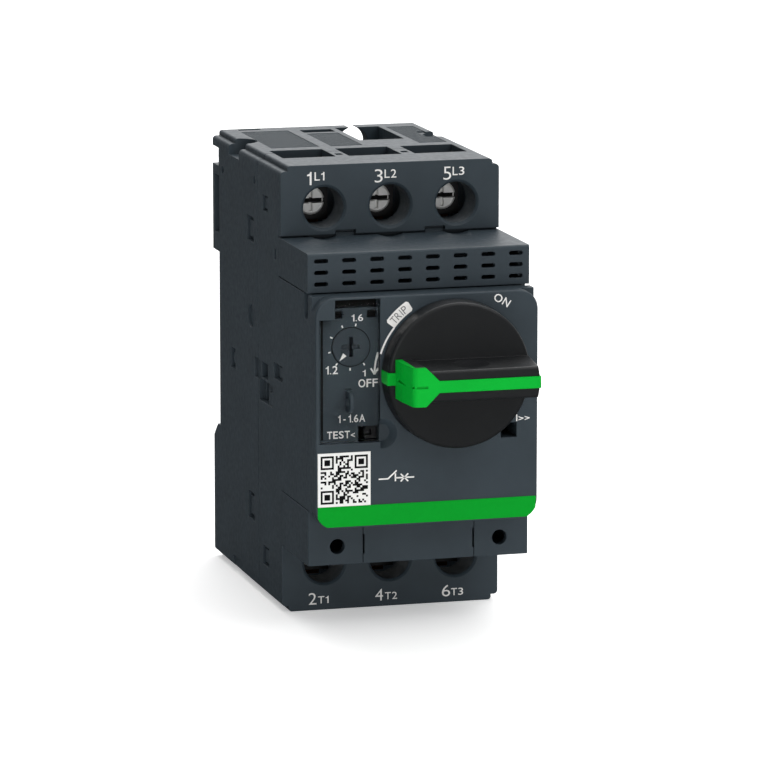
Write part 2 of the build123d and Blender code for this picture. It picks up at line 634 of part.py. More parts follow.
def make_drive_rack():
    """Rack beside the pinion, with the wedge that drives the contact carrier."""
    pitch_x = KNOB_X + GEAR_RADIUS
    root_x = pitch_x + GEAR_MODULE * 1.2
    tip_x = pitch_x - GEAR_MODULE * 0.95
    pitch = math.pi * GEAR_MODULE
    lean = math.tan(math.radians(20))
    rack = block((root_x, 13.2), GEAR_DEPTH, (47.0, 62.9))
    backlash = 0.1
    for tooth in range(5):
        middle = KNOB_HEIGHT + pitch * (tooth - 0.5)
        wide = pitch / 4 - backlash + GEAR_MODULE * 1.2 * lean
        narrow = pitch / 4 - backlash - GEAR_MODULE * 0.95 * lean
        tooth_points = [(root_x + 0.1, middle - wide), (tip_x, middle - narrow)]
        tooth_points += [(tip_x, middle + narrow), (root_x + 0.1, middle + wide)]
        rack += front_outline(tooth_points, GEAR_DEPTH)
    low, high = 50.0, 62.9
    upper = WEDGE_DEPTH - WEDGE_SLOPE * (high - WEDGE_HEIGHT)
    lower = WEDGE_DEPTH - WEDGE_SLOPE * (low - WEDGE_HEIGHT)
    back = GEAR_DEPTH[0] + 1
    wedge = side_outline([(back, low), (back, high), (upper, high), (lower, low)], (root_x + 0.1, 13.2))
    return rack + wedge


def make_bearing_plate():
    plate = block((-2.0, 8.6), (54.0, 55.2), (40.5, 63.5))
    plate -= rod_y(KNOB_X, KNOB_HEIGHT, SHAFT_RADIUS + FIT, (50, 60))
    return plate


def make_mechanism_frame():
    left = block((-3.2, -2.0), (44.0, 75.9), (40.0, 64.0))
    right = block((15.4, 16.6), (44.0, 75.9), (42.5, 64.0))
    for height in FRAME_PIN_HEIGHTS:
        left -= rod_x(FRAME_PIN_DEPTH, height, FRAME_PIN_RADIUS, (-5, 20))
        right -= rod_x(FRAME_PIN_DEPTH, height, FRAME_PIN_RADIUS, (-5, 20))
    right -= rod_x(LATCH_DEPTH, LATCH_HEIGHT, 1.0 + FIT, (-5, 20))
    return group([left, right])


def make_frame_pins():
    pins = [rod_x(FRAME_PIN_DEPTH, height, FRAME_PIN_RADIUS, (-3.8, 17.2)) for height in FRAME_PIN_HEIGHTS]
    return group(pins)


# Contacts

def make_contact_carrier():
    carrier = block((-18.9, 18.9), CROSSBAR_DEPTH, CROSSBAR_HEIGHT)
    for pole in POLES:
        for side in (-1, 1):
            carrier += block(span(pole + side * 3.4, 0.6), (22.9, CROSSBAR_DEPTH[0] + 0.1), (54.5, 59.5))
    # Follower that the rack's wedge pushes
    half = 1.6
    reach = WEDGE_DEPTH - 0.3
    base = CROSSBAR_DEPTH[1] - 0.1
    low, high = WEDGE_HEIGHT - half, WEDGE_HEIGHT + half
    carrier += side_outline([(base, low), (reach + WEDGE_SLOPE * half, low), (reach - WEDGE_SLOPE * half, high),
                             (base, high)], (11.1, 13.1))
    # Seats of the opening springs
    for x in (-6.75, 6.75):
        carrier -= rod_y(x, WEDGE_HEIGHT, 1.0, (30, 32))
    return carrier


def make_moving_contacts():
    return group([block(span(pole, 2.6), BLADE_DEPTH, (45.6, 68.4)) for pole in POLES])


def make_moving_tips():
    tips = []
    for pole in POLES:
        for height in (LINE_TIP_HEIGHT, LOAD_TIP_HEIGHT):
            front = FIXED_TIP_DEPTH[1] + CONTACT_TRAVEL + 0.05
            tips.append(block(span(pole, 1.5), (front, BLADE_DEPTH[0]), height))
    return group(tips)


def make_contact_springs():
    """Short leaf springs between the carrier and the blades."""
    springs = []
    for pole in POLES:
        springs.append(side_outline([(BLADE_DEPTH[1], 56.7), (BLADE_DEPTH[1], 57.3), (25.9, 59.2), (27.0, 59.2),
                                     (27.0, 58.7), (26.1, 58.7), (25.0, 57.0), (26.1, 55.3), (27.0, 55.3),
                                     (27.0, 54.8), (25.9, 54.8)], span(pole, 1.5)))
    return group(springs)


def make_line_terminals():
    bars = []
    for pole in POLES:
        bar = block(span(pole, 4.0), (34.0, 36.0), (73.4, 86.0))
        bar -= rod_y(pole, UPPER_SCREW_HEIGHT, THREAD_RADIUS + FIT, (33, 37))
        bar += block(span(pole, 3.0), (16.5, 36.0), (71.9, 73.4))
        bar += block(span(pole, 3.0), (16.5, 18.0), (63.5, 73.4))
        bars.append(bar)
    return group(bars)


def make_load_terminals():
    bars = []
    for pole in POLES:
        bar = block(span(pole, 4.0), (34.0, 36.0), (3.0, 14.4))
        bar += block(span(pole, 1.8), (34.0, 36.0), (14.0, 18.8))
        bar -= rod_y(pole, LOWER_SCREW_HEIGHT, THREAD_RADIUS + FIT, (33, 37))
        bar += block(span(pole, 1.8), (34.0, 45.2), (17.6, 18.8))
        bars.append(bar)
    return group(bars)


def make_fixed_contacts():
    straps = []
    for pole in POLES:
        strap = block(span(pole, 3.0), (16.5, 18.0), (34.0, 50.5))
        strap += block(span(pole, 3.0), (16.5, 21.5), (34.0, 35.2))
        straps.append(strap)
    return group(straps)


def make_fixed_tips():
    tips = []
    for pole in POLES:
        for height in (LINE_TIP_HEIGHT, LOAD_TIP_HEIGHT):
            tips.append(block(span(pole, 1.5), FIXED_TIP_DEPTH, height))
    return group(tips)


def make_arc_plates():
    plates = []
    for pole in POLES:
        for height in ((69.0, 71.7), (42.0, 45.0)):
            for index in range(6):
                depth = 20.0 + 2.0 * index
                plates.append(block(span(pole, 4.9), (depth, depth + 0.8), height))
    return group(plates)


def make_arc_cheeks():
    cheeks = []
    for pole in POLES:
        for height in ((69.0, 71.7), (42.0, 45.0)):
            for side in (-1, 1):
                cheeks.append(block(span(pole + side * 5.1, 0.2), (19.6, 31.2), height))
    return group(cheeks)


def make_inner_partition():
    wall = block((-20.1, 20.1), (37.6, 38.8), (42.5, 72.3))
    return wall - block((10.4, 13.8), (37, 40), (54.4, 59.6))


# Trip unit

def make_coil_bobbins():
    bobbins = []
    low, high = COIL_HEIGHT
    for pole in POLES:
        bobbin = rod_z(pole, COIL_DEPTH, 3.2, COIL_HEIGHT)
        bobbin += rod_z(pole, COIL_DEPTH, 4.4, (low, low + 1))
        bobbin += rod_z(pole, COIL_DEPTH, 4.4, (high - 1, high))
        bobbin -= rod_z(pole, COIL_DEPTH, PLUNGER_RADIUS + FIT, (low - 1, high + 1))
        bobbins.append(bobbin)
    return group(bobbins)


def make_coil_windings():
    windings = []
    for pole in POLES:
        winding = rod_z(pole, COIL_DEPTH, 4.2, (COIL_HEIGHT[0] + 1, COIL_HEIGHT[1] - 1))
        winding -= rod_z(pole, COIL_DEPTH, 3.2, COIL_HEIGHT)
        windings.append(winding)
    return group(windings)


def make_magnet_yokes():
    yokes = []
    for pole in POLES:
        yoke = block(span(pole, 4.0), (20.5, 32.6), (18.6, COIL_HEIGHT[0]))
        yoke -= rod_z(pole, COIL_DEPTH, PLUNGER_RADIUS + 0.1, (18, 21))
        yoke += block(span(pole, 4.0), (31.2, 32.6), (18.6, 33.0))
        yokes.append(yoke)
    return group(yokes)


def make_plunger(pole):
    plunger = rod_z(pole, COIL_DEPTH, PLUNGER_RADIUS, (16.8, 30.0))
    return plunger + rod_z(pole, COIL_DEPTH, 0.8, (29, 33.6))


def make_bimetals():
    return group([block(span(pole, 1.7), (44.2, 45.0), (18.8, 33.5)) for pole in POLES])


def make_heater_windings():
    sleeves = []
    for pole in POLES:
        sleeve = block(span(pole, 2.7), (43.2, 46.0), (20.5, 29.0))
        sleeves.append(sleeve - block(span(pole, 1.75), (44.15, 45.05), (20, 30)))
    return group(sleeves)


def make_trip_bar():
    bar = rod_x(TRIP_BAR_DEPTH, TRIP_BAR_HEIGHT, 1.4, (-19.4, 19.4))
    for pole in POLES:
        bar += block(span(pole, 1.1), (TRIP_BAR_DEPTH, 43.5), (30.5, TRIP_BAR_HEIGHT))
        bar += block(span(pole, 1.0), (25.2, TRIP_BAR_DEPTH), (36.4, 37.6))
    bar += block((13.3, 14.9), (TRIP_BAR_DEPTH, 46.0), (36.4, 37.6))
    bar += block((-9.2, -7.8), (TRIP_BAR_DEPTH, 44.5), (36.4, 38.0))
    return bar


def make_latch_lever():
    lever = rod_x(LATCH_DEPTH, LATCH_HEIGHT, 1.9, (13.5, 15.1))
    lever += rod_x(LATCH_DEPTH, LATCH_HEIGHT, 1.0, (13.5, 17.0))
    lever += side_outline([(50.8, 44.0), (52.6, 44.0), (48.4, 38.9), (47.0, 38.9)], (13.5, 15.1))
    lever += side_outline([(51.2, 44.0), (52.8, 44.0), (57.0, 50.0), (55.2, 50.0)], (13.5, 15.1))
    return lever


def make_test_slider():
    slider = block((-11.4, -7.4), (76.2, 78.2), (38.7, 41.2))
    slider -= block((-11.6, -10.2), (77.0, 79), (39.4, 40.5))
    slider += block((-9.0, -7.6), (46.5, 76.5), (39.0, 40.8))
    return slider


def make_setting_dial():
    dial = rod_y(DIAL_X, DIAL_HEIGHT, DIAL_RADIUS, (77.5, PANEL_FLOOR + 0.15))
    # Cross slot for a screwdriver: shallow across, deep up and down
    for half_x, half_height, floor in ((1.75, 0.45, 79.3), (0.38, 1.95, 78.0)):
        dial -= block(span(DIAL_X, half_x), (floor, PANEL_FLOOR + 1), span(DIAL_HEIGHT, half_height))
    return dial


def make_setting_cam():
    cam = rod_y(DIAL_X, DIAL_HEIGHT, 1.6, (60.0, 77.5))
    return cam + rod_y(DIAL_X + 0.9, DIAL_HEIGHT, 3.0, (61.0, 64.0))


# Rail clip

def make_rail_clip():
    clip = block((-7.3, 7.3), (1.2, 4.6), (1.4, 27.2))
    clip += side_outline([(1.2, 27.0), (4.0, 27.0), (4.0, 30.2), (2.6, 30.2), (1.2, 28.8)], (-6.4, 6.4))
    clip -= block((-2.2, 2.2), (0, 6), (5.0, 20.0))
    clip -= block((-2.6, 2.6), (0, 6), (2.0, 3.4))
    return clip


def make_rail_spring():
    return coil(0, 2.85, 1.15, 0.3, (11.0, 20.0), 6)


# Terminal hardware

def make_terminal_screw(pole, height):
    screw = rod_y(pole, height, HEAD_RADIUS, (42.7, 45.5))
    screw = chamfer(screw.edges().sort_by(Axis.Y)[0], 0.35)
    # Combined slot: a wide one across, a narrower one up and down
    screw -= block(span(pole, HEAD_RADIUS + 1), (44.1, 46), span(height, 0.5))
    screw -= block(span(pole, 0.35), (44.3, 46), span(height, 2.1))
    return screw + rod_y(pole, height, THREAD_RADIUS, (30.5, 43))


def make_saddle(pole, height):
    saddle = block(span(pole, 4.2), (41.3, 42.6), span(height, 4.2))
    for side in (-1, 1):
        saddle += block(span(pole + side * 3.9, 0.3), (39.5, 41.4), span(height, 4.2))
    return saddle - rod_y(pole, height, THREAD_RADIUS + 0.2, (39, 43))


def make_housing_screws():
    screws = []
    for side in (-1, 1):
        x = side * SCREW_X
        screw = rod_y(x, SCREW_HEIGHT, 0.9, (37.5, TERMINAL_DEPTH + 0.1))
        screw += rod_y(x, SCREW_HEIGHT, 1.4, (TERMINAL_DEPTH, 57.2))
        screws.append(screw - block(span(x, 2), (56.6, 58), span(SCREW_HEIGHT, 0.25)))
    return group(screws)


def make_all():
    nodes = {
        "rear_housing": make_rear_housing(),
        "front_housing": make_front_housing(),
        "vent_cover": make_vent_cover(),
        "lower_fascia": make_lower_fascia(),
        "accessory_cover": make_accessory_cover(),
        "front_plate": make_front_plate(),
        "clear_cover": make_clear_cover(),
        "colour_band": make_colour_band(),
        "code_label": make_code_label(),
        "knob": make_knob(),
        "pointer": make_pointer(),
        "drive_shaft": make_drive_shaft(),
        "shaft_clip": make_shaft_clip(),
        "drive_pinion": make_drive_pinion(),
        "drive_rack": make_drive_rack(),
        "bearing_plate": make_bearing_plate(),
        "mechanism_frame": make_mechanism_frame(),
        "frame_pins": make_frame_pins(),
        "contact_carrier": make_contact_carrier(),
        "moving_contacts": make_moving_contacts(),
        "moving_tips": make_moving_tips(),
        "contact_springs": make_contact_springs(),
        "line_terminals": make_line_terminals(),
        "load_terminals": make_load_terminals(),
        "fixed_contacts": make_fixed_contacts(),
        "fixed_tips": make_fixed_tips(),
        "arc_plates": make_arc_plates(),
        "arc_cheeks": make_arc_cheeks(),
        "inner_partition": make_inner_partition(),
        "coil_bobbins": make_coil_bobbins(),
        "coil_windings": make_coil_windings(),
        "magnet_yokes": make_magnet_yokes(),
        "bimetals": make_bimetals(),
        "heater_windings": make_heater_windings(),
        "trip_bar": make_trip_bar(),
        "latch_lever": make_latch_lever(),
        "test_slider": make_test_slider(),
        "setting_dial": make_setting_dial(),
        "setting_cam": make_setting_cam(),
        "rail_clip": make_rail_clip(),
        "rail_spring": make_rail_spring(),
        "housing_screws": make_housing_screws(),
    }
    for number, pole in enumerate(POLES, 1):
        nodes[f"plunger_{number}"] = make_plunger(pole)
    places = [(pole, UPPER_SCREW_HEIGHT) for pole in POLES] + [(pole, LOWER_SCREW_HEIGHT) for pole in POLES]
    names = ("1_line", "3_line", "5_line", "2_load", "4_load", "6_load")
    for name, (pole, height) in zip(names, places):
        nodes[f"terminal_screw_{name}"] = make_terminal_screw(pole, height)
        nodes[f"saddle_{name}"] = make_saddle(pole, height)
    return nodes


os.makedirs("parts", exist_ok=True)
for node, shape in make_all().items():
    export_step(shape, f"parts/{node}.step")
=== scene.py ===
"""Looks of a rail-mounted motor protection breaker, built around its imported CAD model.

Metres, +Z up, -Y out of the front.
"""

import json
import math

import bmesh
import bpy
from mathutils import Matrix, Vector


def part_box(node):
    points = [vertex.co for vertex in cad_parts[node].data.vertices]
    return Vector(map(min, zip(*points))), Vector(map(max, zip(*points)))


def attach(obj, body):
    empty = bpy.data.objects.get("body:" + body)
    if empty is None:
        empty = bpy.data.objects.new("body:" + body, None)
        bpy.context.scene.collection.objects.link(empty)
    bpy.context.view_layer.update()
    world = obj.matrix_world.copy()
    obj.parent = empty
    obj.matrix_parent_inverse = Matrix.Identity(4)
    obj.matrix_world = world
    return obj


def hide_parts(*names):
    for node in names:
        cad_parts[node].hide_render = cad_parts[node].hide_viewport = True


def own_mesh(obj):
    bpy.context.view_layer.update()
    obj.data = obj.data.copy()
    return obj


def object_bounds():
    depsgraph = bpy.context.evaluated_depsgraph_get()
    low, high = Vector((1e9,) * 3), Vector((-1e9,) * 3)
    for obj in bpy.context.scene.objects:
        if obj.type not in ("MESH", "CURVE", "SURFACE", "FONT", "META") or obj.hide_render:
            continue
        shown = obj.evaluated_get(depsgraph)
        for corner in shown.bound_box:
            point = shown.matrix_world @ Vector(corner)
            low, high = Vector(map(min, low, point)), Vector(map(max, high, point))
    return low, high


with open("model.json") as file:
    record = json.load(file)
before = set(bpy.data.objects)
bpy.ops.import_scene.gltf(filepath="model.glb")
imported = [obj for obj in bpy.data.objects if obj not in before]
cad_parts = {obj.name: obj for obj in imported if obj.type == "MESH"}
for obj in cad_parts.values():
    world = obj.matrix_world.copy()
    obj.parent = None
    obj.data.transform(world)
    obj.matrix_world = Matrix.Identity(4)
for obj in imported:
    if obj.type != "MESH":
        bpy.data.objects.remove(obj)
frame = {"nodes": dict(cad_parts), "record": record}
cad_low, cad_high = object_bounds()

MM = 0.001
FILM = 0.03 * MM            # thickness of printed marks
SINK = 0.01 * MM            # how far a mark's back lies inside the surface under it
HINGE_SHADE = 0.7 * MM      # how deep the dark shows in the slots behind the cover's hinge
SLOT_DEPTH = 1.4 * MM       # of the wide slot in a terminal screw
COVER_INDEX = 1.02          # far below real plastic's: at 1.05 the cover's edges doubled the marks under it

BASE = cad_low.z            # foot of the breaker
PLATE_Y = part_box("front_plate")[1].y - 3.0 * MM
PANEL_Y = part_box("setting_dial")[0].y + 0.15 * MM
TERMINAL_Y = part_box("housing_screws")[0].y + 1.6 * MM
TOP_Z = cad_high.z


def centre(node):
    low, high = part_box(node)
    return (low + high) / 2


# Materials

class Shader:
    """A node material whose patterns follow the row frame."""

    def __init__(self, name, colour, roughness, metallic=0.0):
        self.material = bpy.data.materials.new(name)
        self.material.use_nodes = True
        self.tree = self.material.node_tree
        self.surface = self.tree.nodes["Principled BSDF"]
        self.colour = (*colour, 1.0)
        self.surface.inputs["Metallic"].default_value = metallic
        self.surface.inputs["Base Color"].default_value = self.colour
        self.surface.inputs["Roughness"].default_value = roughness
        self.place = self.tree.nodes.new("ShaderNodeTexCoord").outputs["Object"]
        self.normal = None

    def add(self, kind, inputs=(), **settings):
        made = self.tree.nodes.new(kind)
        for key, value in settings.items():
            setattr(made, key, value)
        for key, value in dict(inputs).items():
            if isinstance(value, bpy.types.NodeSocket):
                self.tree.links.new(value, made.inputs[key])
            else:
                made.inputs[key].default_value = value
        return made

    def link(self, output, name):
        self.tree.links.new(output, self.surface.inputs[name])

    def stretched(self, scale):
        return self.add("ShaderNodeMapping", {"Vector": self.place, "Scale": scale}).outputs["Vector"]

    def noise(self, scale, detail=2.0, place=None):
        inputs = {"Vector": place or self.place, "Scale": scale, "Detail": detail}
        return self.add("ShaderNodeTexNoise", inputs).outputs["Fac"]

    def ranged(self, value, low, high, start=0.3, end=0.7):
        inputs = {"Value": value, "From Min": start, "From Max": end, "To Min": low, "To Max": high}
        return self.add("ShaderNodeMapRange", inputs).outputs["Result"]

    def blend(self, factor, first, second):
        made = self.tree.nodes.new("ShaderNodeMix")
        made.data_type = "RGBA"
        for socket, value in ((made.inputs[0], factor), (made.inputs[6], first), (made.inputs[7], second)):
            if isinstance(value, bpy.types.NodeSocket):
                self.tree.links.new(value, socket)
            else:
                socket.default_value = value
        return made.outputs[2]

    def tint(self, amount):
        return tuple(min(1.0, c * amount) for c in self.colour[:3]) + (1.0,)

    def round_edges(self, radius):
        self.normal = self.add("ShaderNodeBevel", {"Radius": radius}, samples=6).outputs["Normal"]
        return self.normal

    def edge_mask(self):
        """1 along edges, 0 on flat faces."""
        true_normal = self.add("ShaderNodeNewGeometry").outputs["Normal"]
        dot = self.add("ShaderNodeVectorMath", operation="DOT_PRODUCT")
        self.tree.links.new(self.normal, dot.inputs[0])
        self.tree.links.new(true_normal, dot.inputs[1])
        return self.ranged(dot.outputs["Value"], 1.0, 0.0, 0.86, 0.995)

    def bump(self, height, distance, strength=1.0):
        inputs = {"Height": height, "Distance": distance, "Strength": strength}
        if self.normal is not None:
            inputs["Normal"] = self.normal
        self.normal = self.add("ShaderNodeBump", inputs).outputs["Normal"]

    def finish(self):
        if self.normal is not None:
            self.link(self.normal, "Normal")
        return self.material


def moulded(name, colour, roughness, grain=4e-6, edge_highlight=1.35, edge_radius=0.22 * MM, gloss=0.22):
    """Moulded plastic: fine grain, slight mottling, and a patchy painted highlight that lightens the edges."""
    shader = Shader(name, colour, roughness)
    shader.surface.inputs["Specular IOR Level"].default_value = gloss
    shader.round_edges(edge_radius)
    edges = shader.edge_mask()
    mottled = shader.blend(shader.ranged(shader.noise(140, 3.0), 0.0, 1.0), shader.tint(0.94), shader.tint(1.06))
    # Painted highlight: the edges are blended in patches towards a lighter tint.
    painted_highlight = shader.add("ShaderNodeMath", operation="MULTIPLY")
    shader.tree.links.new(edges, painted_highlight.inputs[0])
    shader.tree.links.new(shader.ranged(shader.noise(420, 2.0), 0.15, 0.8), painted_highlight.inputs[1])
    shader.link(shader.blend(painted_highlight.outputs["Value"], mottled, shader.tint(edge_highlight)), "Base Color")
    shader.link(shader.ranged(shader.noise(900, 2.0), roughness - 0.05, roughness + 0.05), "Roughness")
    shader.bump(shader.noise(5200, 2.0), grain)
    return shader.finish()


def metal(name, colour, roughness, stretch=(1, 1, 1), grain=3e-6, stain=0.82, metallic=1.0):
    """Bare or plated metal with rolling marks and faint tarnish."""
    shader = Shader(name, colour, roughness, metallic)
    shader.round_edges(0.12 * MM)
    stains = shader.ranged(shader.noise(260, 4.0), 0.0, 1.0, 0.35, 0.75)
    shader.link(shader.blend(stains, shader.tint(1.0), shader.tint(stain)), "Base Color")
    lines = shader.noise(3000, 3.0, shader.stretched(stretch))
    shader.link(shader.ranged(lines, roughness - 0.08, roughness + 0.1), "Roughness")
    shader.bump(lines, grain)
    return shader.finish()


def wound(name, colour, pitch):
    """Enamelled wire in even turns, stacked along z."""
    shader = Shader(name, colour, 0.28, metallic=0.85)
    turns = shader.add("ShaderNodeTexWave", {"Vector": shader.place, "Scale": math.pi / (10 * pitch)},
                       bands_direction="Z").outputs["Fac"]
    # Darker between the turns: painted shade in the creases between the wires.
    shader.link(shader.blend(shader.ranged(turns, 0.0, 1.0, 0.0, 0.5), shader.tint(0.35), shader.tint(1.0)), "Base Color")
    shader.link(shader.ranged(shader.noise(700), 0.22, 0.38), "Roughness")
    shader.bump(turns, pitch * 0.3)
    return shader.finish()


def clear(name, colour):
    """A polished clear flap with fine rubbing marks, seen with little glare or bending."""
    shader = Shader(name, colour, 0.01)
    shader.surface.inputs["Transmission Weight"].default_value = 1.0
    shader.surface.inputs["IOR"].default_value = COVER_INDEX
    shader.surface.inputs["Coat Weight"].default_value = 0.08
    shader.link(shader.ranged(shader.noise(240, 4.0), 0.0, 0.015), "Roughness")
    return shader.finish()


def printed(name, colour, roughness=0.5, patchy=0.9, gloss=0.4):
    """Printing ink or film: even, with a faintly patchy coat."""
    shader = Shader(name, colour, roughness)
    shader.surface.inputs["Specular IOR Level"].default_value = gloss
    shader.link(shader.blend(shader.ranged(shader.noise(1600, 3.0), 0.0, 1.0), shader.tint(patchy), shader.tint(1.0)),
                "Base Color")
    shader.link(shader.ranged(shader.noise(2400), roughness - 0.06, roughness + 0.06), "Roughness")
    shader.bump(shader.noise(6000), 2e-6)
    return shader.finish()


def fibre(name, colour):
    """Pressed fibre board with short flecks."""
    shader = Shader(name, colour, 0.8)
    flecks = shader.ranged(shader.noise(1800, 4.0, shader.stretched((1, 1, 6))), 0.0, 1.0)
    shader.link(shader.blend(flecks, shader.tint(0.7), shader.tint(1.25)), "Base Color")
    shader.link(shader.ranged(flecks, 0.7, 0.9, 0.0, 1.0), "Roughness")
    shader.bump(flecks, 1e-5)
    return shader.finish()


MATERIALS = {
    "housing_plastic": moulded("housing_plastic", (0.032, 0.0445, 0.0545), 0.46),
    "knob_plastic": moulded("knob_plastic", (0.0105, 0.0115, 0.0125), 0.38, grain=3e-6),
    "green_plastic": moulded("green_plastic", (0.0005, 0.362, 0.028), 0.42, grain=2e-6, edge_highlight=1.10, gloss=0.06),
    "clear_plastic": clear("clear_plastic", (0.985, 0.995, 0.99)),
    "green_film": printed("green_film", (0.0003, 0.295, 0.019), 0.45, 0.95, 0.05),
    "label_film": printed("label_film", (0.80, 0.80, 0.78), 0.45, 0.96),
    "dial_plastic": moulded("dial_plastic", (0.028, 0.038, 0.047), 0.45, grain=3e-6),
    "mechanism_plastic": moulded("mechanism_plastic", (0.42, 0.40, 0.35), 0.45),
    "carrier_plastic": moulded("carrier_plastic", (0.028, 0.027, 0.026), 0.55),
    "bobbin_plastic": moulded("bobbin_plastic", (0.50, 0.46, 0.37), 0.5),
    # Near black, much darker than the housing: painted shade for the small clips, which sit in shadow.
    "clip_plastic": moulded("clip_plastic", (0.012, 0.013, 0.014), 0.5),
    "fibre_board": fibre("fibre_board", (0.26, 0.085, 0.035)),
    "zinc_steel": metal("zinc_steel", (0.93, 0.93, 0.91), 0.4, metallic=0.3),
    "dark_steel": metal("dark_steel", (0.020, 0.020, 0.021), 0.45, metallic=0.6),
    "plated_steel": metal("plated_steel", (0.55, 0.55, 0.53), 0.32, (1, 1, 12)),
    "spring_steel": metal("spring_steel", (0.42, 0.42, 0.43), 0.3),
    # The copper is far darker than bare copper: painted shade for copper parts that sit deep in the housing.
    "copper": metal("copper", (0.30, 0.13, 0.07), 0.38, (1, 10, 1)),
    "winding_copper": wound("winding_copper", (0.62, 0.20, 0.08), 0.55 * MM),
    "silver": metal("silver", (0.82, 0.82, 0.80), 0.26),
    "bimetal": metal("bimetal", (0.50, 0.47, 0.41), 0.3, (1, 1, 12)),
}
INK = printed("white_ink", (0.80, 0.79, 0.77), 0.5)
# Black for the printed code, and also painted shade in the panel's gaps, behind the cover's hinge and in the screws'
# slots.
BLACK_INK_AND_SHADE = printed("black_ink_and_shade", (0.004, 0.004, 0.004), 0.6, gloss=0.1)
GREY_INK = printed("grey_ink", (0.20, 0.20, 0.20), 0.5)


def paint_cad_nodes():
    for part in frame["record"]["subparts"]:
        node = frame["nodes"][part["node"]]
        node.data.materials.clear()
        node.data.materials.append(MATERIALS[part["material_slot"]])
    frame["nodes"]["clear_cover"].visible_shadow = False


# Pieces made here

def piece(name, mesh, material, body):
    made = bpy.data.objects.new(name, mesh)
    bpy.context.scene.collection.objects.link(made)
    mesh.materials.clear()
    mesh.materials.append(material)
    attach(made, body)
    return made


# Width of each letter, and its lowest and highest level, where a capital is 1 tall
GLYPHS = {letter: (wide, 0.0, 1.0) for letter, wide in (
    ("1", 0.36), ("2", 0.64), ("3", 0.64), ("4", 0.70), ("5", 0.64), ("6", 0.64), ("A", 0.88), ("E", 0.68),
    ("F", 0.64), ("I", 0.14), ("L", 0.60), ("N", 0.74), ("O", 0.90), ("P", 0.70), ("R", 0.74), ("S", 0.72),
    ("T", 0.76), (" ", 0.12))}
GLYPHS["."] = (0.15, 0.0, 0.15)
GLYPHS["-"] = (0.34, 0.32, 0.46)
GLYPHS["<"] = GLYPHS[">"] = (0.60, 0.10, 0.70)


def numeral_one():
    """A stem with a short flag, in a unit box; z is 1 on its front and -1 on its back."""
    points = ((0.58, 0), (1, 0), (1, 1), (0.72, 1), (0.55, 0.86), (0, 0.79), (0, 0.68), (0.58, 0.70))
    made = bmesh.new()
    rings = [[made.verts.new((x, y, z)) for x, y in points] for z in (1, -1)]
    made.faces.new(rings[0])
    made.faces.new(list(reversed(rings[1])))
    for i in range(len(points)):
        j = (i + 1) % len(points)
        made.faces.new((rings[0][i], rings[1][i], rings[1][j], rings[0][j]))
    mesh = bpy.data.meshes.new("one")
    made.to_mesh(mesh)
    made.free()
    return mesh


def letter_mesh(letter, weight):
    """One letter of the plain built-in face, in a unit box; z is positive on its front."""
    curve = bpy.data.curves.new("letter", "FONT")
    curve.body = letter
    curve.extrude = 0.1
    curve.offset = weight
    curve.resolution_u = 4
    holder = bpy.data.objects.new("letter", curve)
    bpy.context.scene.collection.objects.link(holder)
    bpy.context.view_layer.update()
    mesh = bpy.data.meshes.new_from_object(holder.evaluated_get(bpy.context.evaluated_depsgraph_get()))
    bpy.data.objects.remove(holder)
    bpy.data.curves.remove(curve)
    low = [min(v.co[i] for v in mesh.vertices) for i in (0, 1)]
    high = [max(v.co[i] for v in mesh.vertices) for i in (0, 1)]
    for v in mesh.vertices:
        v.co.x = (v.co.x - low[0]) / (high[0] - low[0])
        v.co.y = (v.co.y - low[1]) / (high[1] - low[1])
    return mesh


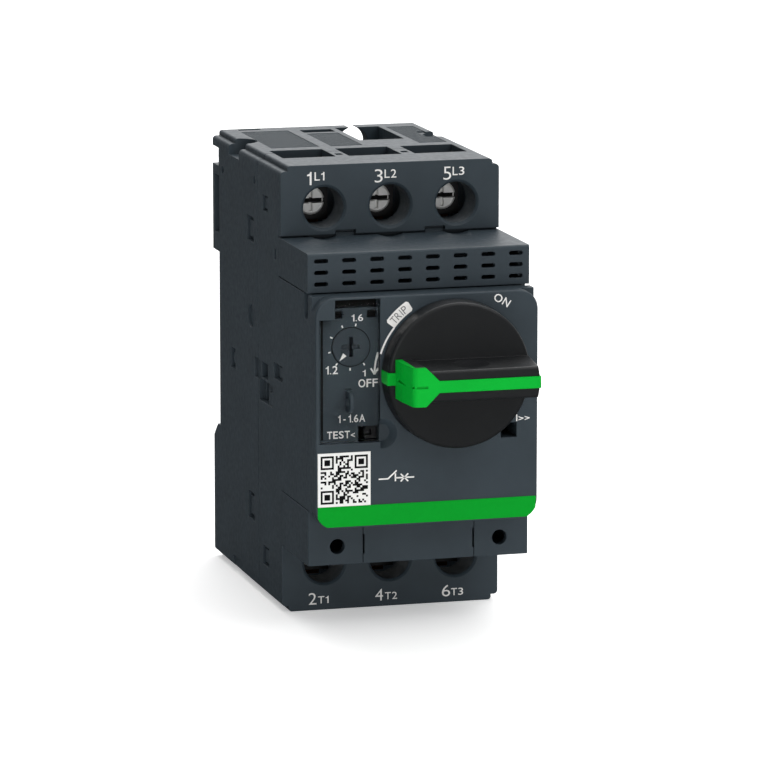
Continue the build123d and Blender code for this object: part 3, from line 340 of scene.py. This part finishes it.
class Print:
    """Thin marks on a plane that faces the front. Places are x and height above the base, in millimetres."""

    def __init__(self, y):
        self.y = y
        self.mesh = bmesh.new()

    def point(self, x, height, lift):
        return Vector((x * MM, self.y - lift, BASE + height * MM))

    def outline(self, points):
        """A filled outline, as a thin closed solid."""
        front = [self.mesh.verts.new(self.point(x, h, FILM)) for x, h in points]
        back = [self.mesh.verts.new(self.point(x, h, -SINK)) for x, h in points]
        self.mesh.faces.new(front)
        self.mesh.faces.new(list(reversed(back)))
        for i, corner in enumerate(front):
            j = (i + 1) % len(front)
            self.mesh.faces.new((corner, back[i], back[j], front[j]))

    def line(self, points, width):
        """A band of even width along a line of points."""
        left, right = [], []
        for i, (x, h) in enumerate(points):
            before = points[max(0, i - 1)]
            after = points[min(len(points) - 1, i + 1)]
            along = Vector((after[0] - before[0], after[1] - before[1])).normalized()
            left.append((x - along.y * width / 2, h + along.x * width / 2))
            right.append((x + along.y * width / 2, h - along.x * width / 2))
        for i in range(len(points) - 1):
            self.outline([left[i], left[i + 1], right[i + 1], right[i]])

    def text(self, words, x, height, turn=0.0, weight=0.008):
        """Plain lettering that fills the box given by its ranges of x and height, turned about the box's middle."""
        gap = 0.15
        total = sum(GLYPHS[letter][0] for letter in words) + gap * (len(words) - 1)
        stretch = (x[1] - x[0]) / total
        tall = height[1] - height[0]
        middle = Vector(((x[0] + x[1]) / 2, (height[0] + height[1]) / 2))
        cos, sin = math.cos(math.radians(turn)), math.sin(math.radians(turn))
        start = 0.0
        for letter in words:
            wide, low, high = GLYPHS[letter]
            if letter != " ":
                shape = numeral_one() if letter == "1" else letter_mesh(letter, weight)
                for v in shape.vertices:
                    across = (start + v.co.x * wide - total / 2) * stretch
                    up = (low + v.co.y * (high - low) - 0.5) * tall
                    place = middle + Vector((across * cos - up * sin, across * sin + up * cos))
                    v.co = self.point(place.x, place.y, FILM if v.co.z > 0 else -SINK)
                self.mesh.from_mesh(shape)
                bpy.data.meshes.remove(shape)
            start += wide + gap

    def done(self, name, material, body):
        bmesh.ops.remove_doubles(self.mesh, verts=self.mesh.verts, dist=1e-7)
        bmesh.ops.recalc_face_normals(self.mesh, faces=self.mesh.faces)
        mesh = bpy.data.meshes.new(name)
        self.mesh.to_mesh(mesh)
        self.mesh.free()
        return piece(name, mesh, material, body)


def arc(middle, radius, start, end, steps):
    """Points on a circle, angles in degrees from +x, counter-clockwise."""
    angles = [math.radians(start + (end - start) * i / steps) for i in range(steps + 1)]
    return [(middle[0] + radius * math.cos(a), middle[1] + radius * math.sin(a)) for a in angles]


def in_mm(point):
    return point.x / MM, (point.z - BASE) / MM


KNOB = in_mm(centre("drive_shaft"))
DIAL = in_mm(centre("setting_dial"))


def terminal_marks():
    marks = Print(TERMINAL_Y)
    for number, left, right in (("1", -16.9, -16.0), ("3", -3.2, -1.6), ("5", 10.8, 12.4)):
        marks.text(number, (left, right), (85.1, 87.7), weight=-0.007)
    for words, left, right in (("L1", -15.4, -13.4), ("L2", -1.2, 1.2), ("L3", 12.7, 15.1)):
        marks.text(words, (left, right), (85.95, 87.6), weight=0.002)
    for number, left, right in (("2", -16.8, -15.2), ("4", -3.1, -1.5), ("6", 10.7, 12.4)):
        marks.text(number, (left, right), (1.15, 3.5), weight=-0.005)
    for words, left, right in (("T1", -14.9, -12.7), ("T2", -1.1, 1.4), ("T3", 12.6, 15.1)):
        marks.text(words, (left, right), (1.3, 2.75), weight=0.002)
    marks.done("terminal_numbers", INK, "housing")


ARC_START = 142.2           # degrees, where the trip label ends and the arc begins
ARC_SPLIT = 163.9           # where the arc crosses the edge of the panel
ARC_END = 180.0
ARC_RADIUS = (14.9, 15.15)  # at its start and its end
ARC_WIDTH = 0.36


def trip_arc(start, end):
    """Points on the arc between two of its angles; it opens out slightly towards its end."""
    points = []
    steps = 16
    for i in range(steps + 1):
        angle = start + (end - start) * i / steps
        share = (angle - ARC_START) / (ARC_END - ARC_START)
        points += arc(KNOB, ARC_RADIUS[0] + share * (ARC_RADIUS[1] - ARC_RADIUS[0]), angle, angle, 1)[:1]
    return points


def plate_marks():
    marks = Print(PLATE_Y)
    marks.text("O", (13.35, 15.05), (64.85, 66.4), -33)
    marks.text("N", (15.15, 16.5), (63.95, 65.5), -33)
    marks.text("I>>", (17.9, 20.6), (41.3, 42.6))
    # Breaker symbol
    marks.line([(-9.75, 31.3), (-7.9, 31.3)], 0.28)
    marks.line([(-7.9, 31.3), (-6.15, 32.85)], 0.28)
    marks.line([(-6.4, 30.75), (-6.4, 32.3)], 0.28)
    marks.line([(-6.4, 31.4), (-2.65, 31.4)], 0.28)
    for rise in (-0.75, 0.75):
        marks.line([(-5.35, 31.4 - rise), (-3.85, 31.4 + rise)], 0.28)
    # Arc from the trip label towards the off place; it goes on in the panel's recess
    marks.line(trip_arc(ARC_START, ARC_SPLIT), ARC_WIDTH)
    marks.done("plate_marks", INK, "housing")


def trip_label():
    """A label bent round the knob, sharp at the corner where the arc begins, with its word in grey."""
    label = Print(PLATE_Y)
    inner, outer = ARC_RADIUS[0] - 0.1, 17.0
    start, end = 122.6, ARC_START
    corner = 0.35
    steps = 12
    turn = math.degrees(corner / outer)
    rim = arc(KNOB, outer, start + turn, end - turn, steps)
    foot = arc(KNOB, inner, end, start + turn, steps)
    lower = arc(KNOB, outer - corner, end, end, 1)[:1]
    upper = arc(KNOB, inner + corner, start, start, 1)[:1] + arc(KNOB, outer - corner, start, start, 1)[:1]
    label.outline(rim + lower + foot + upper)
    label.done("trip_label", INK, "housing")
    word = Print(PLATE_Y - FILM)
    for letter, angle, half in (("T", 138.0, 0.52), ("R", 133.9, 0.5), ("I", 130.7, 0.09), ("P", 127.7, 0.47)):
        x, h = arc(KNOB, (inner + outer) / 2, angle, angle, 1)[0]
        word.text(letter, (x - half, x + half), (h - 0.76, h + 0.76), angle - 90, 0.0)
    word.done("trip_word", GREY_INK, "housing")


def panel_marks():
    marks = Print(PANEL_Y)
    marks.text("1.6", (-14.6, -12.3), (62.05, 63.4))
    marks.text("1.2", (-19.75, -17.35), (51.95, 53.55))
    marks.text("1", (-12.4, -11.8), (51.25, 52.5))
    marks.text("OFF", (-13.25, -9.45), (49.1, 50.7), weight=0.014)
    marks.text("1 - 1.6A", (-17.3, -11.9), (42.35, 43.85))
    marks.text("TEST<", (-19.5, -13.95), (39.3, 40.75), weight=0.014)
    for angle in (77, 113, 153, 192, 229, 268, 307):
        ends = [arc(DIAL, radius, angle, angle, 1)[0] for radius in (4.1, 4.6)]
        marks.line(ends, 0.26)
    # Lower end of the arc, with its arrowhead
    rim = trip_arc(ARC_SPLIT, ARC_END)
    marks.line(rim, ARC_WIDTH)
    tip_x, tip_height = rim[-1]
    for side in (-1, 1):
        marks.line([(tip_x + side * 0.72, tip_height + 1.1), (tip_x, tip_height - 0.1)], 0.32)
    marks.done("panel_marks", INK, "housing")
    arrow = Print(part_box("setting_dial")[0].y)
    tip = arc(DIAL, 3.55, 229, 229, 1)[0]
    foot = arc(DIAL, 1.9, 229, 229, 1)[0]
    across = Vector((math.sin(math.radians(229)), -math.cos(math.radians(229)))) * 0.45
    arrow.outline([tip, (foot[0] + across.x, foot[1] + across.y), (foot[0] - across.x, foot[1] - across.y)])
    arrow.done("dial_arrow", INK, "dial")


def panel_gap_shade():
    """Painted shade in the panel: black lines in the gap round the dial and along the cover's left edge, and black
    film in the slots behind the cover's hinge.
    """
    gap_shade_marks = Print(PANEL_Y)
    low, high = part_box("setting_dial")
    # Painted shade: a black ring in the gap round the dial and a black line along the cover's left edge.
    gap_shade_marks.line(arc(DIAL, (high.x - low.x) / 2 / MM + 0.08, 0, 360, 48), 0.2)
    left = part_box("clear_cover")[0].x / MM + 0.8
    gap_shade_marks.line([(left, 39.1), (left, 62.6)], 0.4)
    gap_shade_marks.done("panel_gap_shade", BLACK_INK_AND_SHADE, "housing")
    # Painted shade: black film a little way inside the slots behind the cover's hinge.
    shade = Print(PANEL_Y + HINGE_SHADE)
    for left, right, foot, top in ((-18.1, -9.7, 64.8, 66.4), (-18.1, -16.5, 62.8, 64.0), (-11.4, -9.7, 62.8, 64.0)):
        middle = (foot + top) / 2
        shade.line([(left, middle), (right, middle)], top - foot)
    shade.done("hinge_shade", BLACK_INK_AND_SHADE, "housing")


def screw_slots():
    """Painted shade in the combined slots of the terminal screws: a black strip at the bottom of each slot."""
    for place in ("1_line", "3_line", "5_line", "2_load", "4_load", "6_load"):
        low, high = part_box(f"terminal_screw_{place}")
        x, height = in_mm((low + high) / 2)
        painted_slot_marks = Print(low.y + SLOT_DEPTH)
        # Painted shade: the black strip stands for the dark inside the slot.
        painted_slot_marks.line([(x - 2.6, height), (x + 2.6, height)], 0.96)
        painted_slot_marks.done(f"slot_shade_{place}", BLACK_INK_AND_SHADE, f"screw_{place}")


def code_modules():
    """A made-up pattern of square modules that carries no data."""
    low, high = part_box("code_label")
    modules = 25
    border = 0.55
    left, foot = low.x / MM + border, (low.z - BASE) / MM + border
    cell = ((high.x - low.x) / MM - 2 * border) / modules
    corners = ((0, 0), (0, modules - 7), (modules - 7, modules - 7))

    def dark(column, row):
        for x, y in corners:
            if -1 <= column - x <= 7 and -1 <= row - y <= 7:
                ring = max(abs(column - x - 3), abs(row - y - 3))
                return ring in (0, 1, 3)
        return (column * column * 7 + row * row * 3 + column * row * 5 + (column ^ row) * 11) % 23 < 11

    marks = Print(low.y)
    for row in range(modules):
        column = 0
        while column < modules:
            run = column
            while run < modules and dark(run, row):
                run += 1
            if run > column:
                x0, x1 = left + column * cell, left + run * cell
                y0, y1 = foot + row * cell, foot + (row + 1) * cell
                marks.outline([(x0, y0), (x1, y0), (x1, y1), (x0, y1)])
            column = max(run, column + 1)
    marks.done("code_modules", BLACK_INK_AND_SHADE, "housing")


def top_ribs():
    """Fine ribs in the shallow fields of the top face."""
    mesh = bmesh.new()
    pitch, half, tall = 1.0 * MM, 0.3 * MM, 0.26 * MM
    floor = TOP_Z - 0.3 * MM
    notch_depth, notch_x = (0.0128, 0.0212), 0.0173   # ribs beside the right edge's notch stop short of it
    for x, depth in (((-17.4, -7.7), (5.2, 29.8)), ((-5.1, 1.3), (11.0, 29.8)), ((13.3, 18.9), (5.2, 29.8))):
        count = int((depth[1] - depth[0]) * MM / pitch)
        for i in range(count):
            middle = -(depth[0] * MM + (i + 0.5) * pitch)
            section = [(-half, -SINK), (-half * 0.6, tall), (half * 0.6, tall), (half, -SINK)]
            right = x[1] * MM
            if notch_depth[0] < -middle < notch_depth[1]:
                right = min(right, notch_x)
            ends = []
            for end in (x[0] * MM, right):
                ends.append([mesh.verts.new((end, middle + y, floor + z)) for y, z in section])
            for a in range(4):
                b = (a + 1) % 4
                mesh.faces.new((ends[0][a], ends[0][b], ends[1][b], ends[1][a]))
            mesh.faces.new(ends[0])
            mesh.faces.new(list(reversed(ends[1])))
    bmesh.ops.recalc_face_normals(mesh, faces=mesh.faces)
    made = bpy.data.meshes.new("top_ribs")
    mesh.to_mesh(made)
    mesh.free()
    piece("top_ribs", made, MATERIALS["housing_plastic"], "housing")


def clip_spring():
    """The rail clip's spring, as a piece of its own, carried with the housing."""
    mesh = frame["nodes"]["rail_spring"].data.copy()
    spring = piece("clip_spring", mesh, MATERIALS["spring_steel"], "housing")
    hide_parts("rail_spring")
    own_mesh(spring)


# Surroundings

def make_floor():
    mesh = bmesh.new()
    bmesh.ops.create_circle(mesh, cap_ends=True, segments=96, radius=6.0)
    made = bpy.data.meshes.new("floor")
    mesh.to_mesh(made)
    mesh.free()
    floor = bpy.data.objects.new("floor", made)
    floor.location.z = BASE - 0.05 * MM
    bpy.context.scene.collection.objects.link(floor)
    shader = Shader("floor", (0.93, 0.93, 0.93), 0.6)
    shader.link(shader.blend(shader.noise(4.0), shader.tint(0.985), shader.tint(1.0)), "Base Color")
    shader.surface.inputs["Emission Color"].default_value = (1.0, 1.0, 1.0, 1.0)
    shader.surface.inputs["Emission Strength"].default_value = 0.4
    made.materials.append(shader.finish())


def make_light(name, place, target, size, power):
    data = bpy.data.lights.new(name, "AREA")
    data.shape = "RECTANGLE"
    data.size, data.size_y = size
    data.energy = power
    light = bpy.data.objects.new(name, data)
    light.location = place
    light.rotation_mode = "QUATERNION"
    light.rotation_quaternion = (Vector(target) - Vector(place)).to_track_quat("-Z", "Y")
    bpy.context.scene.collection.objects.link(light)


def make_world():
    """A studio that's bright behind and overhead, and dark in front and to the left."""
    world = bpy.data.worlds.new("studio")
    bpy.context.scene.world = world
    world.use_nodes = True
    tree = world.node_tree
    background = tree.nodes["Background"]
    place = tree.nodes.new("ShaderNodeTexCoord")
    split = tree.nodes.new("ShaderNodeSeparateXYZ")
    tree.links.new(place.outputs["Generated"], split.inputs[0])

    def ranged(axis, start, end, low, high):
        made = tree.nodes.new("ShaderNodeMapRange")
        for name, value in (("From Min", start), ("From Max", end), ("To Min", low), ("To Max", high)):
            made.inputs[name].default_value = value
        tree.links.new(split.outputs[axis], made.inputs["Value"])
        return made.outputs["Result"]

    def combined(operation, first, second):
        made = tree.nodes.new("ShaderNodeMath")
        made.operation = operation
        tree.links.new(first, made.inputs[0])
        tree.links.new(second, made.inputs[1])
        return made.outputs["Value"]

    behind = combined("MULTIPLY", ranged("Y", -0.1, 0.6, 0.0, 1.4), ranged("X", -0.18, 0.2, 0.02, 1.0))
    front = ranged("Y", -0.95, -0.35, 0.22, 0.0)
    overhead = ranged("Z", 0.4, 1.0, 0.05, 1.6)
    total = combined("ADD", combined("ADD", behind, front), overhead)
    tree.links.new(total, background.inputs["Strength"])
    background.inputs["Color"].default_value = (1.0, 1.0, 1.0, 1.0)


def make_dark_card():
    """A dark card on the floor that only reflected and transmitted light sees."""
    mesh = bmesh.new()
    bmesh.ops.create_circle(mesh, cap_ends=True, segments=64, radius=2.5)
    made = bpy.data.meshes.new("dark_card")
    mesh.to_mesh(made)
    mesh.free()
    card = bpy.data.objects.new("dark_card", made)
    card.location.z = BASE - 0.03 * MM
    bpy.context.scene.collection.objects.link(card)
    shader = Shader("dark_card", (0.015, 0.016, 0.018), 0.9)
    shader.link(shader.blend(shader.noise(3.0), shader.tint(0.9), shader.tint(1.0)), "Base Color")
    made.materials.append(shader.finish())
    for rays in ("camera", "diffuse", "shadow", "volume_scatter"):
        setattr(card, f"visible_{rays}", False)


def make_flag():
    """A dark screen at the left that keeps the light off the left side; only bounced light sees it."""
    mesh = bmesh.new()
    x, front, back, top = -0.22, -0.12, 0.9, 0.6
    corners = [(x, front, BASE), (x, back, BASE), (x, back, top), (x, front, top)]
    mesh.faces.new([mesh.verts.new(corner) for corner in corners])
    made = bpy.data.meshes.new("flag")
    mesh.to_mesh(made)
    mesh.free()
    flag = bpy.data.objects.new("flag", made)
    bpy.context.scene.collection.objects.link(flag)
    shader = Shader("flag", (0.03, 0.03, 0.03), 0.9)
    shader.link(shader.blend(shader.noise(3.0), shader.tint(0.9), shader.tint(1.0)), "Base Color")
    made.materials.append(shader.finish())
    for rays in ("camera", "glossy", "transmission", "shadow", "volume_scatter"):
        setattr(flag, f"visible_{rays}", False)


def make_camera():
    data = bpy.data.cameras.new("camera")
    data.sensor_width = 36.0
    data.lens = 246.8
    data.clip_start, data.clip_end = 0.05, 30.0
    camera = bpy.data.objects.new("camera", data)
    camera.location = (-0.2738, -1.0299, 0.1843)
    camera.rotation_mode = "QUATERNION"
    camera.rotation_quaternion = Vector((0.26421, 0.94752, -0.17999)).to_track_quat("-Z", "Y")
    bpy.context.scene.collection.objects.link(camera)
    bpy.context.scene.camera = camera


paint_cad_nodes()
terminal_marks()
plate_marks()
trip_label()
panel_marks()
panel_gap_shade()
screw_slots()
code_modules()
top_ribs()
clip_spring()
make_floor()
make_dark_card()
make_flag()
make_world()
TARGET = (cad_low + cad_high) / 2
make_light("key", (0.55, -0.75, 0.75), TARGET, (0.7, 0.7), 3.2)
make_light("low", (-0.12, -0.95, -0.02), TARGET, (0.5, 0.25), 2.1)
make_light("back", (0.1, 0.8, 0.9), TARGET, (1.6, 0.9), 7.0)
make_camera()
bpy.context.scene.view_settings.view_transform = "Standard"
